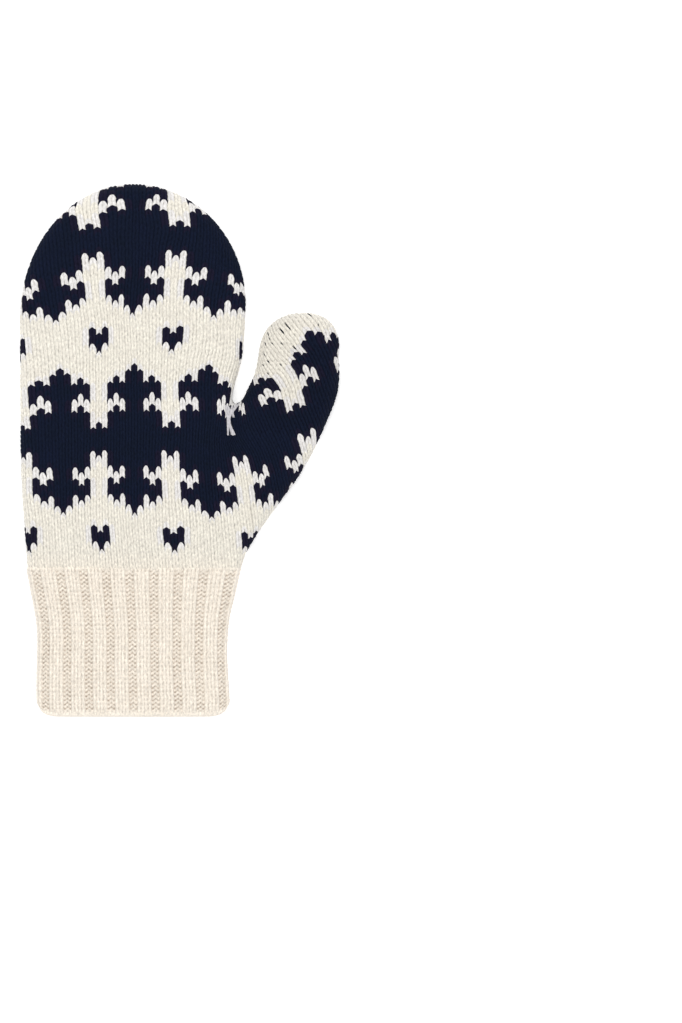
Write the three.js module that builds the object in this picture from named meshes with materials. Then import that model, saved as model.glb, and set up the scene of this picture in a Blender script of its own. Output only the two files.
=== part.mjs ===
// A stranded-knit mitten that lies flat on its palm: ribbed cuff, hand with a thumb gusset, and thumb.
// Millimetres, +Y from the wrist to the fingertips, the thumb at +X, and +Z up off the surface.
// The origin is on the surface, under the middle of the whole mitten.
import * as THREE from "three";

// Places along Y, from the edge of the cuff to the tip of the hand
const CUFF_EDGE_Y = -125.1;
const WRIST_Y = -55.2;
const CROTCH_Y = 7.6;
const HAND_TIP_Y = 125.1;
const THUMB_TIP_Y = 64.3;
const NODE_GAP = 0.3;

// Fabric: one knitted wall, and the folds at the sides of a tube that lies flat
const WALL = 2.6;
const FOLD_HEIGHT = 4.2;
const FOLD_TOP_RADIUS = 4.8;
const FOLD_STEPS = 3;

// Hand: straight sides up to the shoulders, then a round tip
const HAND_SHOULDER_LEFT = { x: -75.7, y: 61.2 };
const HAND_SHOULDER_RIGHT_Y = 68.7;
const HAND_TIP_X = -21.9;
const HAND_HALF_WIDTH = 50;
const HAND_SPANS = 8;

// Thumb: a leaning tube with a short round tip
const THUMB_SHOULDER = { x: 56.4, y: 44.3 };
const THUMB_TIP_X = 58.0;
const THUMB_HALF_WIDTH = 19.1;
const THUMB_CROWN = 4.6;
const THUMB_TIP_POWER = 2.4;
const THUMB_SPANS = 4;

// The seam at the crotch gathers the cloth into a dimple that fades out towards the wrist.
// Inside, the two walls part at the web, a little below the crotch.
const CROTCH_LINE_WRIST_X = -8;
const DIMPLE_END_Y = -15;
const WEB_Y = -2;
const INNER_DIMPLE_END_Y = -23;

// Cuff: ribs of two raised and two sunken stitches
const CUFF_HALF_WIDTH = 44;
const CUFF_SPANS = 10;
const CUFF_FOLD_HEIGHT = 4.0;
const CUFF_FOLD_TOP_RADIUS = 4.0;
const RIB_COUNT = 18;
const RIB_DEPTH = 1.1;
const RIB_PROFILE = [
  { share: 0.13, raised: true },
  { share: 0.44, raised: true },
  { share: 0.54, raised: false },
  { share: 0.72, raised: false },
  { share: 0.82, raised: true },
];

// Outline of the hand up to the crotch. crown is how far the cloth swells above its folds.
const HAND_SECTIONS = [
  { y: -55.2, left: -71.8, right: 28.9, crown: 5.4 },
  { y: -47.8, left: -72.4, right: 31.5, crown: 5.8 },
  { y: -36.5, left: -73.3, right: 38.5, crown: 6.4 },
  { y: -25.3, left: -74.2, right: 46.4, crown: 6.8 },
  { y: -14.0, left: -75.0, right: 54.8, crown: 7.0 },
  { y: -2.7, left: -75.3, right: 61.6, crown: 7.0 },
  { y: 7.6, left: -75.4, right: 66.7, crown: 7.0 },
];

// Inner edge of the hand above the crotch, from the seam to the shoulder
const HAND_INNER_SIDE = [
  { y: 7.6, right: 25.2, crown: 7.0 },
  { y: 21.7, right: 24.7, crown: 7.0 },
  { y: 31.1, right: 26.2, crown: 7.0 },
  { y: 42.4, right: 28.9, crown: 7.0 },
  { y: 54.0, right: 30.2, crown: 7.0 },
  { y: 68.7, right: 30.9, crown: 7.0 },
];

// Both edges of the thumb from its base to its shoulder
const THUMB_SECTIONS = [
  { y: 7.6, left: 25.6, right: 66.7 },
  { y: 15.2, left: 26.1, right: 70.1 },
  { y: 21.7, left: 27.4, right: 72.9 },
  { y: 28.0, left: 31.3, right: 74.7 },
  { y: 35.5, left: 35.4, right: 75.6 },
  { y: 44.3, left: 37.3, right: 75.5 },
];

// Outline of the cuff from its rounded edge to the wrist
const CUFF_SECTIONS = [
  { y: -125.1, left: -61.5, right: 19.5, crown: 5.2 },
  { y: -123.6, left: -64.6, right: 22.0, crown: 5.4 },
  { y: -120.0, left: -66.8, right: 23.4, crown: 5.5 },
  { y: -111.0, left: -66.9, right: 23.0, crown: 5.5 },
  { y: -98.5, left: -66.7, right: 22.3, crown: 5.4 },
  { y: -89.0, left: -66.5, right: 22.4, crown: 5.3 },
  { y: -79.8, left: -67.2, right: 23.3, crown: 5.3 },
  { y: -68.0, left: -69.4, right: 26.0, crown: 5.3 },
  { y: -55.2, left: -71.8, right: 28.9, crown: 5.4 },
];

// Where the rings of points lie along Y, and at what angles round the tips
const CUFF_RINGS = [CUFF_EDGE_Y, -123.6, -120, -111, -98.5, -86, -75, -65, WRIST_Y - NODE_GAP];
const GUSSET_RINGS = [WRIST_Y, -50, -43, -36, -29, -23, -18, -13.5, -9.5, -6, WEB_Y, 1.5, 4.8, CROTCH_Y];
const HAND_SIDE_RINGS = [12, 17, 21.7, 26.5, 31, 37, 45, 53, HAND_SHOULDER_LEFT.y];
const HAND_TIP_ANGLES = [15, 30, 43, 55, 65, 74, 81, 86];
const THUMB_SIDE_RINGS = [CROTCH_Y + NODE_GAP, 12, 17, 21.7, 26, 31, 37, THUMB_SHOULDER.y];
const THUMB_TIP_ANGLES = [20, 38, 53, 66, 76, 84];

const CREAM_HAND_WOOL = 0xe9e5d8;
const CREAM_CUFF_WOOL = 0xefe6da;
const WOOL_ROUGHNESS = 0.95;

const { clamp, lerp, smoothstep, degToRad } = THREE.MathUtils;

// A value of a table at height y, on a smooth curve through its rows
function sample(table, y, column) {
  const last = table.length - 1;
  let i = 0;
  while (i < last - 1 && y > table[i + 1].y) i += 1;
  const slope = (k) => {
    const low = table[Math.max(k - 1, 0)];
    const high = table[Math.min(k + 1, last)];
    return (high[column] - low[column]) / (high.y - low.y);
  };
  const step = table[i + 1].y - table[i].y;
  const t = clamp((y - table[i].y) / step, 0, 1);
  const rise = table[i + 1][column] - table[i][column];
  const startBend = (slope(i) * step - rise) * (1 - t);
  const endBend = (slope(i + 1) * step - rise) * t;
  return table[i][column] + rise * t + t * (1 - t) * (startBend - endBend);
}

// Places across a flat tube, from -1 at its left fold to 1 at its right fold
function columns(halfWidth, spans) {
  const foldShare = FOLD_TOP_RADIUS / halfWidth;
  const fold = [];
  for (let i = 0; i < FOLD_STEPS; i += 1) {
    const angle = (Math.PI / 2) * (i / FOLD_STEPS);
    fold.push(1 - foldShare * (1 - Math.cos(angle)));
  }
  const middle = [];
  for (let i = 0; i <= spans; i += 1) middle.push((1 - foldShare) * (2 * (i / spans) - 1));
  return [...fold.map((place) => -place), ...middle, ...fold.toReversed()];
}

// A flat tube at one place along Y. rise is 0 on straight sides and grows to 1 at the end of a
// round tip, and fullHalfWidth is half the width that the tube has before its tip.
function makeTube(left, right, crown, rise = 0, fullHalfWidth = (right - left) / 2) {
  const foldHeight = FOLD_HEIGHT;
  const foldTopRadius = FOLD_TOP_RADIUS;
  return { left, right, crown, rise, fullHalfWidth, foldHeight, foldTopRadius };
}

// How far a fold of the given radius turns up or down at a distance from its outermost line
function foldTurn(distance, radius) {
  const reach = clamp(radius - distance, 0, radius);
  return Math.sqrt(radius * radius - reach * reach);
}

// Height of the upper or the lower face of a tube at place k, on its outside or, inset, on its inside
function faceHeight(tube, k, inset, isTop) {
  const radius = Math.sqrt(tube.rise ** 2 + (1 - tube.rise ** 2) * k * k);
  const fromEdge = Math.max(0, (1 - radius) * (tube.fullHalfWidth - inset));
  if (!isTop) return tube.foldHeight - foldTurn(fromEdge, tube.foldHeight - inset);
  const swell = tube.crown * (1 - radius * radius);
  return tube.foldHeight + foldTurn(fromEdge, tube.foldTopRadius - inset) + swell;
}

// A ring of points round a tube: over the top from left to right, then back underneath
function tubeRing(y, tube, places, inset) {
  const row = (rowPlaces, isTop) => rowPlaces.map((k) => {
    const x = lerp(tube.left + inset, tube.right - inset, (k + 1) / 2);
    return new THREE.Vector3(x, y, faceHeight(tube, k, inset, isTop));
  });
  return [...row(places, true), ...row(places.slice(1, -1), false).reverse()];
}

// Collects the points and triangles of one closed mesh
class MeshBuilder {
  positions = [];
  indices = [];

  addRing(points) {
    return points.map((point) => {
      this.positions.push(point.x, point.y, point.z);
      return this.positions.length / 3 - 1;
    });
  }

  // isFlipped turns the face of a triangle the other way
  triangle(a, b, c, isFlipped) {
    this.indices.push(a, isFlipped ? c : b, isFlipped ? b : c);
  }

  // Triangles between two open rows of equal length
  strip(rowA, rowB, isFlipped = false) {
    for (let i = 0; i < rowA.length - 1; i += 1) {
      this.triangle(rowA[i], rowA[i + 1], rowB[i + 1], isFlipped);
      this.triangle(rowA[i], rowB[i + 1], rowB[i], isFlipped);
    }
  }

  band(ringA, ringB, isFlipped = false) {
    this.strip([...ringA, ringA[0]], [...ringB, ringB[0]], isFlipped);
  }

  bands(rings, isFlipped = false) {
    for (let i = 0; i < rings.length - 1; i += 1) this.band(rings[i], rings[i + 1], isFlipped);
  }

  // Closes a round tip from its last ring to a single point
  closeTip(ring, tipPoint, isFlipped) {
    const [tip] = this.addRing([tipPoint]);
    ring.forEach((index, i) => {
      this.triangle(index, ring[(i + 1) % ring.length], tip, isFlipped);
    });
  }

  toMesh(name, color) {
    const geometry = new THREE.BufferGeometry();
    geometry.setAttribute("position", new THREE.Float32BufferAttribute(this.positions, 3));
    geometry.setIndex(this.indices);
    geometry.computeVertexNormals();
    const wool = new THREE.MeshStandardMaterial({ color, roughness: WOOL_ROUGHNESS, metalness: 0 });
    const mesh = new THREE.Mesh(geometry, wool);
    mesh.name = name;
    return mesh;
  }
}

// A ring of the cuff: the ribs share the length of its section evenly
function cuffRing(y, inset) {
  const tube = makeTube(
    sample(CUFF_SECTIONS, y, "left"),
    sample(CUFF_SECTIONS, y, "right"),
    sample(CUFF_SECTIONS, y, "crown"),
  );
  tube.foldHeight = CUFF_FOLD_HEIGHT;
  tube.foldTopRadius = CUFF_FOLD_TOP_RADIUS;
  const section = new THREE.CurvePath();
  const corners = tubeRing(y, tube, columns(CUFF_HALF_WIDTH, CUFF_SPANS), inset);
  corners.forEach((corner, i) => {
    section.add(new THREE.LineCurve3(corner, corners[(i + 1) % corners.length]));
  });
  const points = [];
  for (let rib = 0; rib < RIB_COUNT; rib += 1) {
    for (const { share, raised } of RIB_PROFILE) {
      const around = (rib + share) / RIB_COUNT;
      const point = section.getPointAt(around);
      const tangent = section.getTangentAt(around);
      const depth = inset > 0 || raised ? 0 : RIB_DEPTH;
      points.push(new THREE.Vector3(point.x + tangent.z * depth, y, point.z - tangent.x * depth));
    }
  }
  return points;
}

function makeCuff() {
  const builder = new MeshBuilder();
  const outside = CUFF_RINGS.map((y) => builder.addRing(cuffRing(y, 0)));
  const inside = CUFF_RINGS.map((y) => builder.addRing(cuffRing(y, WALL)));
  builder.bands(outside);
  builder.bands(inside, true);
  builder.band(outside[0], inside[0], true);
  builder.band(outside.at(-1), inside.at(-1));
  return builder.toMesh("cuff", CREAM_CUFF_WOOL);
}

const handPlaces = columns(HAND_HALF_WIDTH, HAND_SPANS);
const thumbPlaces = columns(THUMB_HALF_WIDTH, THUMB_SPANS);

// Line in the cloth that ends at the crotch. It curves away from the thumb towards the wrist.
function crotchLineX(y) {
  const below = clamp((CROTCH_Y - y) / (CROTCH_Y - WRIST_Y), 0, 1);
  return lerp(HAND_INNER_SIDE[0].right, CROTCH_LINE_WRIST_X, below * below);
}

// The gusset stretch at one place along Y: the whole tube, and its lobes for hand and thumb
function gussetTubes(y) {
  const left = sample(HAND_SECTIONS, y, "left");
  const right = sample(HAND_SECTIONS, y, "right");
  const crown = sample(HAND_SECTIONS, y, "crown");
  return {
    whole: makeTube(left, right, crown),
    hand: makeTube(left, crotchLineX(y), crown),
    thumb: makeTube(crotchLineX(y), right, THUMB_CROWN),
  };
}

// Ring of the gusset stretch: over the hand and the thumb side, then back underneath. gather is 1
// where the seam pinches the lobes apart, and 0 where the cloth runs straight across.
function gussetRing(y, inset) {
  const { whole, hand, thumb } = gussetTubes(y);
  const fadeEndY = inset > 0 ? INNER_DIMPLE_END_Y : DIMPLE_END_Y;
  const gather = smoothstep(y, fadeEndY, inset > 0 ? WEB_Y : CROTCH_Y);
  const middle = (whole.left + whole.right) / 2;
  const row = (lobe, places, isTop) => places.map((k) => {
    const left = Math.max(lobe.left, whole.left + inset);
    const right = Math.min(lobe.right, whole.right - inset);
    const x = lerp(left, right, (k + 1) / 2);
    const wholePlace = clamp((x - middle) / (whole.fullHalfWidth - inset), -1, 1);
    const flat = faceHeight(whole, wholePlace, inset, isTop);
    const pinched = faceHeight(lobe, k, inset, isTop);
    return new THREE.Vector3(x, y, lerp(flat, pinched, gather));
  });
  return [
    ...row(hand, handPlaces, true),
    ...row(thumb, thumbPlaces.slice(1), true),
    ...row(thumb, thumbPlaces.slice(0, -1), false).reverse(),
    ...row(hand, handPlaces.slice(1, -1), false).reverse(),
  ];
}

// The hand above the crotch
function handSideTube(y) {
  const up = (y - CROTCH_Y) / (HAND_SHOULDER_LEFT.y - CROTCH_Y);
  return makeTube(
    lerp(HAND_SECTIONS.at(-1).left, HAND_SHOULDER_LEFT.x, clamp(up, 0, 1)),
    sample(HAND_INNER_SIDE, y, "right"),
    sample(HAND_INNER_SIDE, y, "crown"),
  );
}

// A ring of the round tip: both sides are quarter ellipses that meet at the tip
function handTipRing(angle, inset) {
  const tipY = HAND_TIP_Y - inset;
  const y = lerp(HAND_SHOULDER_LEFT.y, tipY, Math.sin(degToRad(angle)));
  const riseLeft = (y - HAND_SHOULDER_LEFT.y) / (tipY - HAND_SHOULDER_LEFT.y);
  const riseRight = Math.max(0, (y - HAND_SHOULDER_RIGHT_Y) / (tipY - HAND_SHOULDER_RIGHT_Y));
  const side = handSideTube(Math.min(y, HAND_SHOULDER_RIGHT_Y));
  const left = lerp(HAND_TIP_X, side.left + inset, Math.sqrt(1 - riseLeft ** 2)) - inset;
  const right = lerp(HAND_TIP_X, side.right - inset, Math.sqrt(1 - riseRight ** 2)) + inset;
  const rise = (riseLeft + riseRight) / 2;
  return tubeRing(y, makeTube(left, right, side.crown, rise, side.fullHalfWidth), handPlaces, inset);
}

// Adds one face of the hand: its outside, or with an inset its inside. From splitY up, the rings
// of the gusset stretch are parted into one for the hand and one for the thumb.
function addHandFace(builder, inset, splitY) {
  const isInside = inset > 0;
  const rightFold = handPlaces.length - 1;
  const gussetRings = GUSSET_RINGS.filter((y) => y < splitY).map((y) => {
    return builder.addRing(gussetRing(y, inset));
  });
  const handRings = [];
  const thumbRings = [];
  for (const y of GUSSET_RINGS.filter((ringY) => ringY >= splitY)) {
    const { hand, thumb } = gussetTubes(y);
    const handRing = builder.addRing(tubeRing(y, hand, handPlaces, inset));
    const thumbPoints = tubeRing(y, thumb, thumbPlaces, inset);
    handRings.push(handRing);
    if (isInside) thumbRings.push(builder.addRing(thumbPoints));
    else thumbRings.push([handRing[rightFold], ...builder.addRing(thumbPoints.slice(1))]);
  }

  const below = gussetRings.at(-1);
  const [handRing] = handRings;
  const [thumbRing] = thumbRings;
  const thumbEnd = rightFold + thumbRing.length;
  const handTop = handRing.slice(0, rightFold + 1);
  const handUnderside = [...handRing.slice(rightFold), handRing[0]];
  builder.strip(below.slice(0, rightFold + 1), handTop, isInside);
  builder.strip(below.slice(rightFold, thumbEnd + 1), [...thumbRing, thumbRing[0]], isInside);
  builder.strip([...below.slice(thumbEnd), below[0]], handUnderside, isInside);
  if (isInside) {
    builder.triangle(below[rightFold], handRing[rightFold], thumbRing[0], false);
    builder.triangle(below[thumbEnd], thumbRing[0], handRing[rightFold], false);
  }

  for (const y of HAND_SIDE_RINGS) {
    handRings.push(builder.addRing(tubeRing(y, handSideTube(y), handPlaces, inset)));
  }
  for (const angle of HAND_TIP_ANGLES) handRings.push(builder.addRing(handTipRing(angle, inset)));
  builder.bands(gussetRings, isInside);
  builder.bands(handRings, isInside);
  builder.bands(thumbRings, isInside);
  const tip = new THREE.Vector3(HAND_TIP_X, HAND_TIP_Y - inset, FOLD_HEIGHT);
  builder.closeTip(handRings.at(-1), tip, isInside);
  return { wristRim: gussetRings[0], thumbRim: thumbRings.at(-1) };
}

function makeHand() {
  const builder = new MeshBuilder();
  const outside = addHandFace(builder, 0, CROTCH_Y);
  const inside = addHandFace(builder, WALL, WEB_Y);
  builder.band(outside.wristRim, inside.wristRim, true);
  builder.band(outside.thumbRim, inside.thumbRim);
  return builder.toMesh("hand", CREAM_HAND_WOOL);
}

function thumbTipRing(angle, inset) {
  const rise = Math.sin(degToRad(angle));
  const y = lerp(THUMB_SHOULDER.y, THUMB_TIP_Y - inset, rise);
  const narrowing = (1 - rise ** THUMB_TIP_POWER) ** (1 / THUMB_TIP_POWER);
  const halfWidth = (THUMB_HALF_WIDTH - inset) * narrowing + inset;
  const middle = lerp(THUMB_SHOULDER.x, THUMB_TIP_X, rise);
  const tube = makeTube(middle - halfWidth, middle + halfWidth, THUMB_CROWN, rise, THUMB_HALF_WIDTH);
  return tubeRing(y, tube, thumbPlaces, inset);
}

// Adds one face of the thumb and returns the ring at its open base
function addThumbFace(builder, inset) {
  const isInside = inset > 0;
  const rings = [];
  for (const y of THUMB_SIDE_RINGS) {
    const left = sample(THUMB_SECTIONS, y, "left");
    const right = sample(THUMB_SECTIONS, y, "right");
    rings.push(builder.addRing(tubeRing(y, makeTube(left, right, THUMB_CROWN), thumbPlaces, inset)));
  }
  for (const angle of THUMB_TIP_ANGLES) rings.push(builder.addRing(thumbTipRing(angle, inset)));
  builder.bands(rings, isInside);
  const tip = new THREE.Vector3(THUMB_TIP_X, THUMB_TIP_Y - inset, FOLD_HEIGHT);
  builder.closeTip(rings.at(-1), tip, isInside);
  return rings[0];
}

function makeThumb() {
  const builder = new MeshBuilder();
  const outside = addThumbFace(builder, 0);
  const inside = addThumbFace(builder, WALL);
  builder.band(outside, inside, true);
  return builder.toMesh("thumb", CREAM_HAND_WOOL);
}

const mitten = new THREE.Group();
mitten.add(makeCuff(), makeHand(), makeThumb());

export default mitten;
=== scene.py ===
import math

import bmesh
import bpy
import numpy as np
from mathutils.kdtree import KDTree
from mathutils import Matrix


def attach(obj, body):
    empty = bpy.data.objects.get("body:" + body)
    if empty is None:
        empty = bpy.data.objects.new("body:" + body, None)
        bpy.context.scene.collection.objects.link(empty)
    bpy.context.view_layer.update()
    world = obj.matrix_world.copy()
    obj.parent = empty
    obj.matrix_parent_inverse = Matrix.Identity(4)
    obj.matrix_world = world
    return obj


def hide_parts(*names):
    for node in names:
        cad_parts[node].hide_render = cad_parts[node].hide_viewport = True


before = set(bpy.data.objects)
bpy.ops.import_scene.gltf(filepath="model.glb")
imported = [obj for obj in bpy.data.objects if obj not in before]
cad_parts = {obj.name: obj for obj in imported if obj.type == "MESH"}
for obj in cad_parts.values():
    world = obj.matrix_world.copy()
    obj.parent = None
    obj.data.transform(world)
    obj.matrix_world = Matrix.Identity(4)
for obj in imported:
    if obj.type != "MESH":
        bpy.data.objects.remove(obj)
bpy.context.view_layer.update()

# Cuff
# A tube of cream wool in ribs of two raised and two sunken wales, 36 rows deep with its rim. Its
# lower edge is cast off in a soft rolled rim, and its upper edge is knitted straight on into the hand.
MM = 0.001
WALL = 2.6
CUFF_EDGE_Y = -125.1
LEAN_START_Y = -92.0
SWELL_START_Y = -78.0
WRIST_Y = -55.2
CUFF_TUCK = 3.5                 # how far the cuff reaches in behind the first rows of the hand
CUFF_TUCK_SINK = 1.3
CUFF_FOLD_RADIUS = 4.0
CUFF_UNDERSIDE = 0.25
FOLD_HEIGHT = 4.2               # of the folds of the hand, into which those of the cuff grow
FOLD_RADIUS = 4.8
CUFF_RIBS = 18
CUFF_WALES = 4 * CUFF_RIBS
CUFF_ROWS = 37                  # with those of the tuck
CUFF_STEPS = 6
CUFF_RIM = 2.4
CUFF_RIM_Y = CUFF_EDGE_Y + CUFF_RIM / 2
CUFF_RIM_STEPS = 8
CUFF_ROW_HEIGHT = (WRIST_Y + CUFF_TUCK - CUFF_RIM_Y) / CUFF_ROWS
CUFF_INSIDE_STEPS = 14
CUFF_SECTION_POINTS = 241
CUFF_PROBE = 0.8
CUFF_FLOOR_GAP = 0.02
CUFF_MERGE = 0.00002
CUFF_SEED = 5
CORNER_WIDTH = 8.5
CORNER_RISE = 3.6
RIB_DEPTH = 0.85
RIB_BASE = -0.45
RIB_SINK = 0.65
RIB_HEAD_RISE = 0.3
RIB_LEAN_LOW = 0.7
RIB_LEAN_HIGH = 3.0
FIRST_RIB_SHARE = 0.63
PURL_DEPTH = 0.9
PURL_SWING = 0.25
CUFF_TONE = (0.91, 0.84, 0.73)
MOTTLE_SCALE = 90
FLECK_SCALE = 1500
FLECK_STRETCH = (1.0, 0.45, 1.0)
FLECK_DARKEST = 0.69
FLECK_BRIGHTEST = 1.2
FIBRE_SCALE = 2600
FIBRE_DEPTH = 0.25
STITCH_DYE = 0.35

CUFF_OUTLINE = [
    {"y": -125.1, "left": -66.2, "right": 22.8, "crown": 5.2},
    {"y": -120.0, "left": -66.8, "right": 23.4, "crown": 5.5},
    {"y": -111.0, "left": -66.9, "right": 23.0, "crown": 5.5},
    {"y": -98.5, "left": -66.7, "right": 22.3, "crown": 5.4},
    {"y": -89.0, "left": -66.5, "right": 22.4, "crown": 5.3},
    {"y": -79.8, "left": -67.2, "right": 23.3, "crown": 5.3},
    {"y": -68.0, "left": -69.4, "right": 26.0, "crown": 5.3},
    {"y": -55.2, "left": -71.8, "right": 28.9, "crown": 5.4},
]

# Places of the mesh columns across one rib, from the middle of one sunken pair to the next
PURL_HALF = 0.185
PURL_PLACES = (0.0, 0.25, 0.5, 0.75)
KNIT_PLACES = (0.0, 0.12, 0.3, 0.5, 0.7, 0.88)
RIB_PLACES = (
    [PURL_HALF * place for place in PURL_PLACES]
    + [PURL_HALF + (0.5 - PURL_HALF) * place for place in KNIT_PLACES]
    + [0.5 + (0.5 - PURL_HALF) * place for place in KNIT_PLACES]
    + [1 - PURL_HALF * (1 - place) for place in PURL_PLACES]
)


def smooth(value, low, high):
    """0 below low, 1 above high, and a smooth rise between them."""
    t = np.clip((value - low) / (high - low), 0, 1)
    return t * t * (3 - 2 * t)


def along(table, y, column):
    """Values of a table at heights y, on a smooth curve through its rows."""
    ys = np.array([row["y"] for row in table])
    values = np.array([row[column] for row in table])
    slopes = np.empty(len(ys))
    slopes[1:-1] = (values[2:] - values[:-2]) / (ys[2:] - ys[:-2])
    slopes[0] = (values[1] - values[0]) / (ys[1] - ys[0])
    slopes[-1] = (values[-1] - values[-2]) / (ys[-1] - ys[-2])
    i = np.clip(np.searchsorted(ys, y, side="right") - 1, 0, len(ys) - 2)
    step = ys[i + 1] - ys[i]
    t = np.clip((y - ys[i]) / step, 0, 1)
    rise = values[i + 1] - values[i]
    start = (slopes[i] * step - rise) * (1 - t)
    end = (slopes[i + 1] * step - rise) * t
    return values[i] + rise * t + t * (1 - t) * (start - end)


def fold_turn(distance, radius):
    """How far a fold turns up or down at a distance inside its outermost line."""
    reach = np.clip(radius - distance, 0, radius)
    return np.sqrt(radius * radius - reach * reach)


def leg_relief(u, v):
    """Height of a knit stitch from 0 to 1: u runs across the wale, v from its foot to its head.

    Its two legs run up side by side to the head, with grooves between them and between wales."""
    from_middle = np.abs(2 * u - 1)
    across = np.sqrt(np.clip(1 - ((from_middle - 0.5) / 0.66) ** 2, 0, 1))
    wale_groove = 1 - 0.6 * smooth(from_middle, 0.74, 1.0)
    leg_groove = 1 - 0.5 * (1 - smooth(from_middle, 0, 0.34)) * (1 - 0.6 * smooth(v, 0.5, 0.95))
    rise = np.interp(v, (0, 0.2, 0.55, 0.86, 1.0), (0.66, 0.88, 1.0, 0.94, 0.66))
    return across * wale_groove * leg_groove * rise


def painted_stitch_shading(u, v, depth):
    """Brightness of a knit stitch from 0 to 1: painted shade in fine lines and dots beside its legs.
    """
    to_middle = np.abs(u - 0.5)
    to_side = np.minimum(u, 1 - u)
    line = 1 - smooth(np.minimum(to_middle, to_side), 0, 0.12)
    middle_dot = np.interp(v, (0, 0.2, 0.55, 0.8, 1), (0.8, 1, 0.1, 0, 0.8))
    middle_dot *= 1 - smooth(to_middle, 0, 0.1)
    side_dot = np.interp(v, (0, 0.2, 0.55, 0.86, 1), (0, 0.2, 1, 0.3, 0))
    side_dot *= 1 - smooth(to_side, 0, 0.12)
    return 1 - 0.3 * line - depth * np.maximum(middle_dot, side_dot)


def cuff_section(y, inset):
    """Points round the cuff at height y, as x and z, and how far along its outline each one lies."""
    left = along(CUFF_OUTLINE, y, "left") + inset
    right = along(CUFF_OUTLINE, y, "right") - inset
    crown = along(CUFF_OUTLINE, y, "crown")
    half = (right - left) / 2
    turn = np.linspace(0, math.pi, CUFF_SECTION_POINTS)
    k = -np.cos(turn)
    from_edge = (1 - np.abs(k)) * half
    x = left + (k + 1) * half
    to_hand = smooth(y, SWELL_START_Y, WRIST_Y)
    fold = CUFF_FOLD_RADIUS + (FOLD_HEIGHT - CUFF_FOLD_RADIUS) * to_hand
    radius = CUFF_FOLD_RADIUS + (FOLD_RADIUS - CUFF_FOLD_RADIUS) * to_hand
    top = fold + fold_turn(from_edge, radius - inset) + crown * (1 - k * k)
    bottom = fold - fold_turn(from_edge, fold - CUFF_UNDERSIDE - inset)
    xs = np.concatenate([x, x[-2:0:-1], x[:1]])
    zs = np.concatenate([top, bottom[-2:0:-1], top[:1]])
    length = np.concatenate([[0], np.cumsum(np.hypot(np.diff(xs), np.diff(zs)))])
    return xs, zs, length


def cuff_profile():
    """Levels of the cuff, from its inside over the rim to the outside, as y, inset, side and row.

    side is 1 on the outside and -1 on the inside, and row counts the knitted rows."""
    levels = []
    for step in range(CUFF_INSIDE_STEPS):
        y = WRIST_Y + (CUFF_RIM_Y - WRIST_Y) * step / CUFF_INSIDE_STEPS
        levels.append((y, WALL, -1, 0))
    for step in range(CUFF_RIM_STEPS):
        angle = math.pi * step / CUFF_RIM_STEPS
        inset = WALL * (1 + math.cos(angle)) / 2
        levels.append((CUFF_RIM_Y - math.sin(angle) * CUFF_RIM / 2, inset, -math.cos(angle), 0))
    for step in range(CUFF_ROWS * CUFF_STEPS + 1):
        row = step / CUFF_STEPS
        levels.append((CUFF_RIM_Y + row * CUFF_ROW_HEIGHT, 0, 1, row))
    return levels


def rib_grid(profile):
    """A flat grid for the cuff, with the rib, the place across the rib and the level of each point."""
    columns = CUFF_RIBS * len(RIB_PLACES)
    bm = bmesh.new()
    bmesh.ops.create_grid(bm, x_segments=columns, y_segments=len(profile) - 1, size=0.5)
    grid = np.array([vertex.co for vertex in bm.verts])
    column = np.rint((grid[:, 0] + 0.5) * columns).astype(int)
    level = np.rint((grid[:, 1] + 0.5) * (len(profile) - 1)).astype(int)
    return bm, column // len(RIB_PLACES), np.array(RIB_PLACES)[column % len(RIB_PLACES)], level


def across_wale(place):
    """Which points are on raised knit wales, and where each of those lies across its wale."""
    is_knit = (place > PURL_HALF - 0.001) & (place < 1 - PURL_HALF + 0.001)
    u = np.where(place < 0.5, place - PURL_HALF, place - 0.5) / (0.5 - PURL_HALF)
    return is_knit, np.where(is_knit, np.clip(u, 0, 1), 0)


def purl_bumps(place, v):
    """The bumps of the sunken purl wales: distance from their middle, sideways swing, and wave."""
    off = np.minimum(place, 1 - place) / PURL_HALF
    swing = np.cos(1.5 * math.pi * off)
    wave = 0.5 + 0.5 * np.cos(2 * math.pi * (v - PURL_SWING * swing))
    return off, swing, wave


def rib_clearness(y, side, row):
    """1 where the ribs stand out in full, falling to 0 at the rim and at the wrist."""
    from_rim = smooth(row, 0, 1.4) * smooth(side, 0.2, 1.0)
    return from_rim * (1 - smooth(y, WRIST_Y - 3.0, WRIST_Y - 0.2))


def cuff_relief(place, y, side, row):
    """How far points stand off the cuff: stitches on its outside, and soft ribs on its inside."""
    is_knit, u = across_wale(place)
    off, swing, wave = purl_bumps(place, row % 1.0)
    knit = 0.3 + 0.7 * leg_relief(u, row % 1.0)
    purl = 1 - (1 - wave) * (0.55 + 0.45 * np.abs(swing))
    relief = np.where(is_knit, knit, PURL_DEPTH * purl)
    height = np.where(side > 0, RIB_DEPTH * relief * smooth(row, 0, 1.2) + RIB_BASE, 0)
    height -= RIB_SINK * (1 - smooth(off, 0.7, 1.4)) * rib_clearness(y, side, row)
    inside = 0.5 * smooth(np.abs(place - 0.5), 0.2, 0.35) - 0.3
    height += np.where(side < 0, inside * smooth(-side, 0, 1), 0)
    return height - CUFF_TUCK_SINK * smooth(y, WRIST_Y - 0.8, WRIST_Y + 1.2) * (side > 0)


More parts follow.
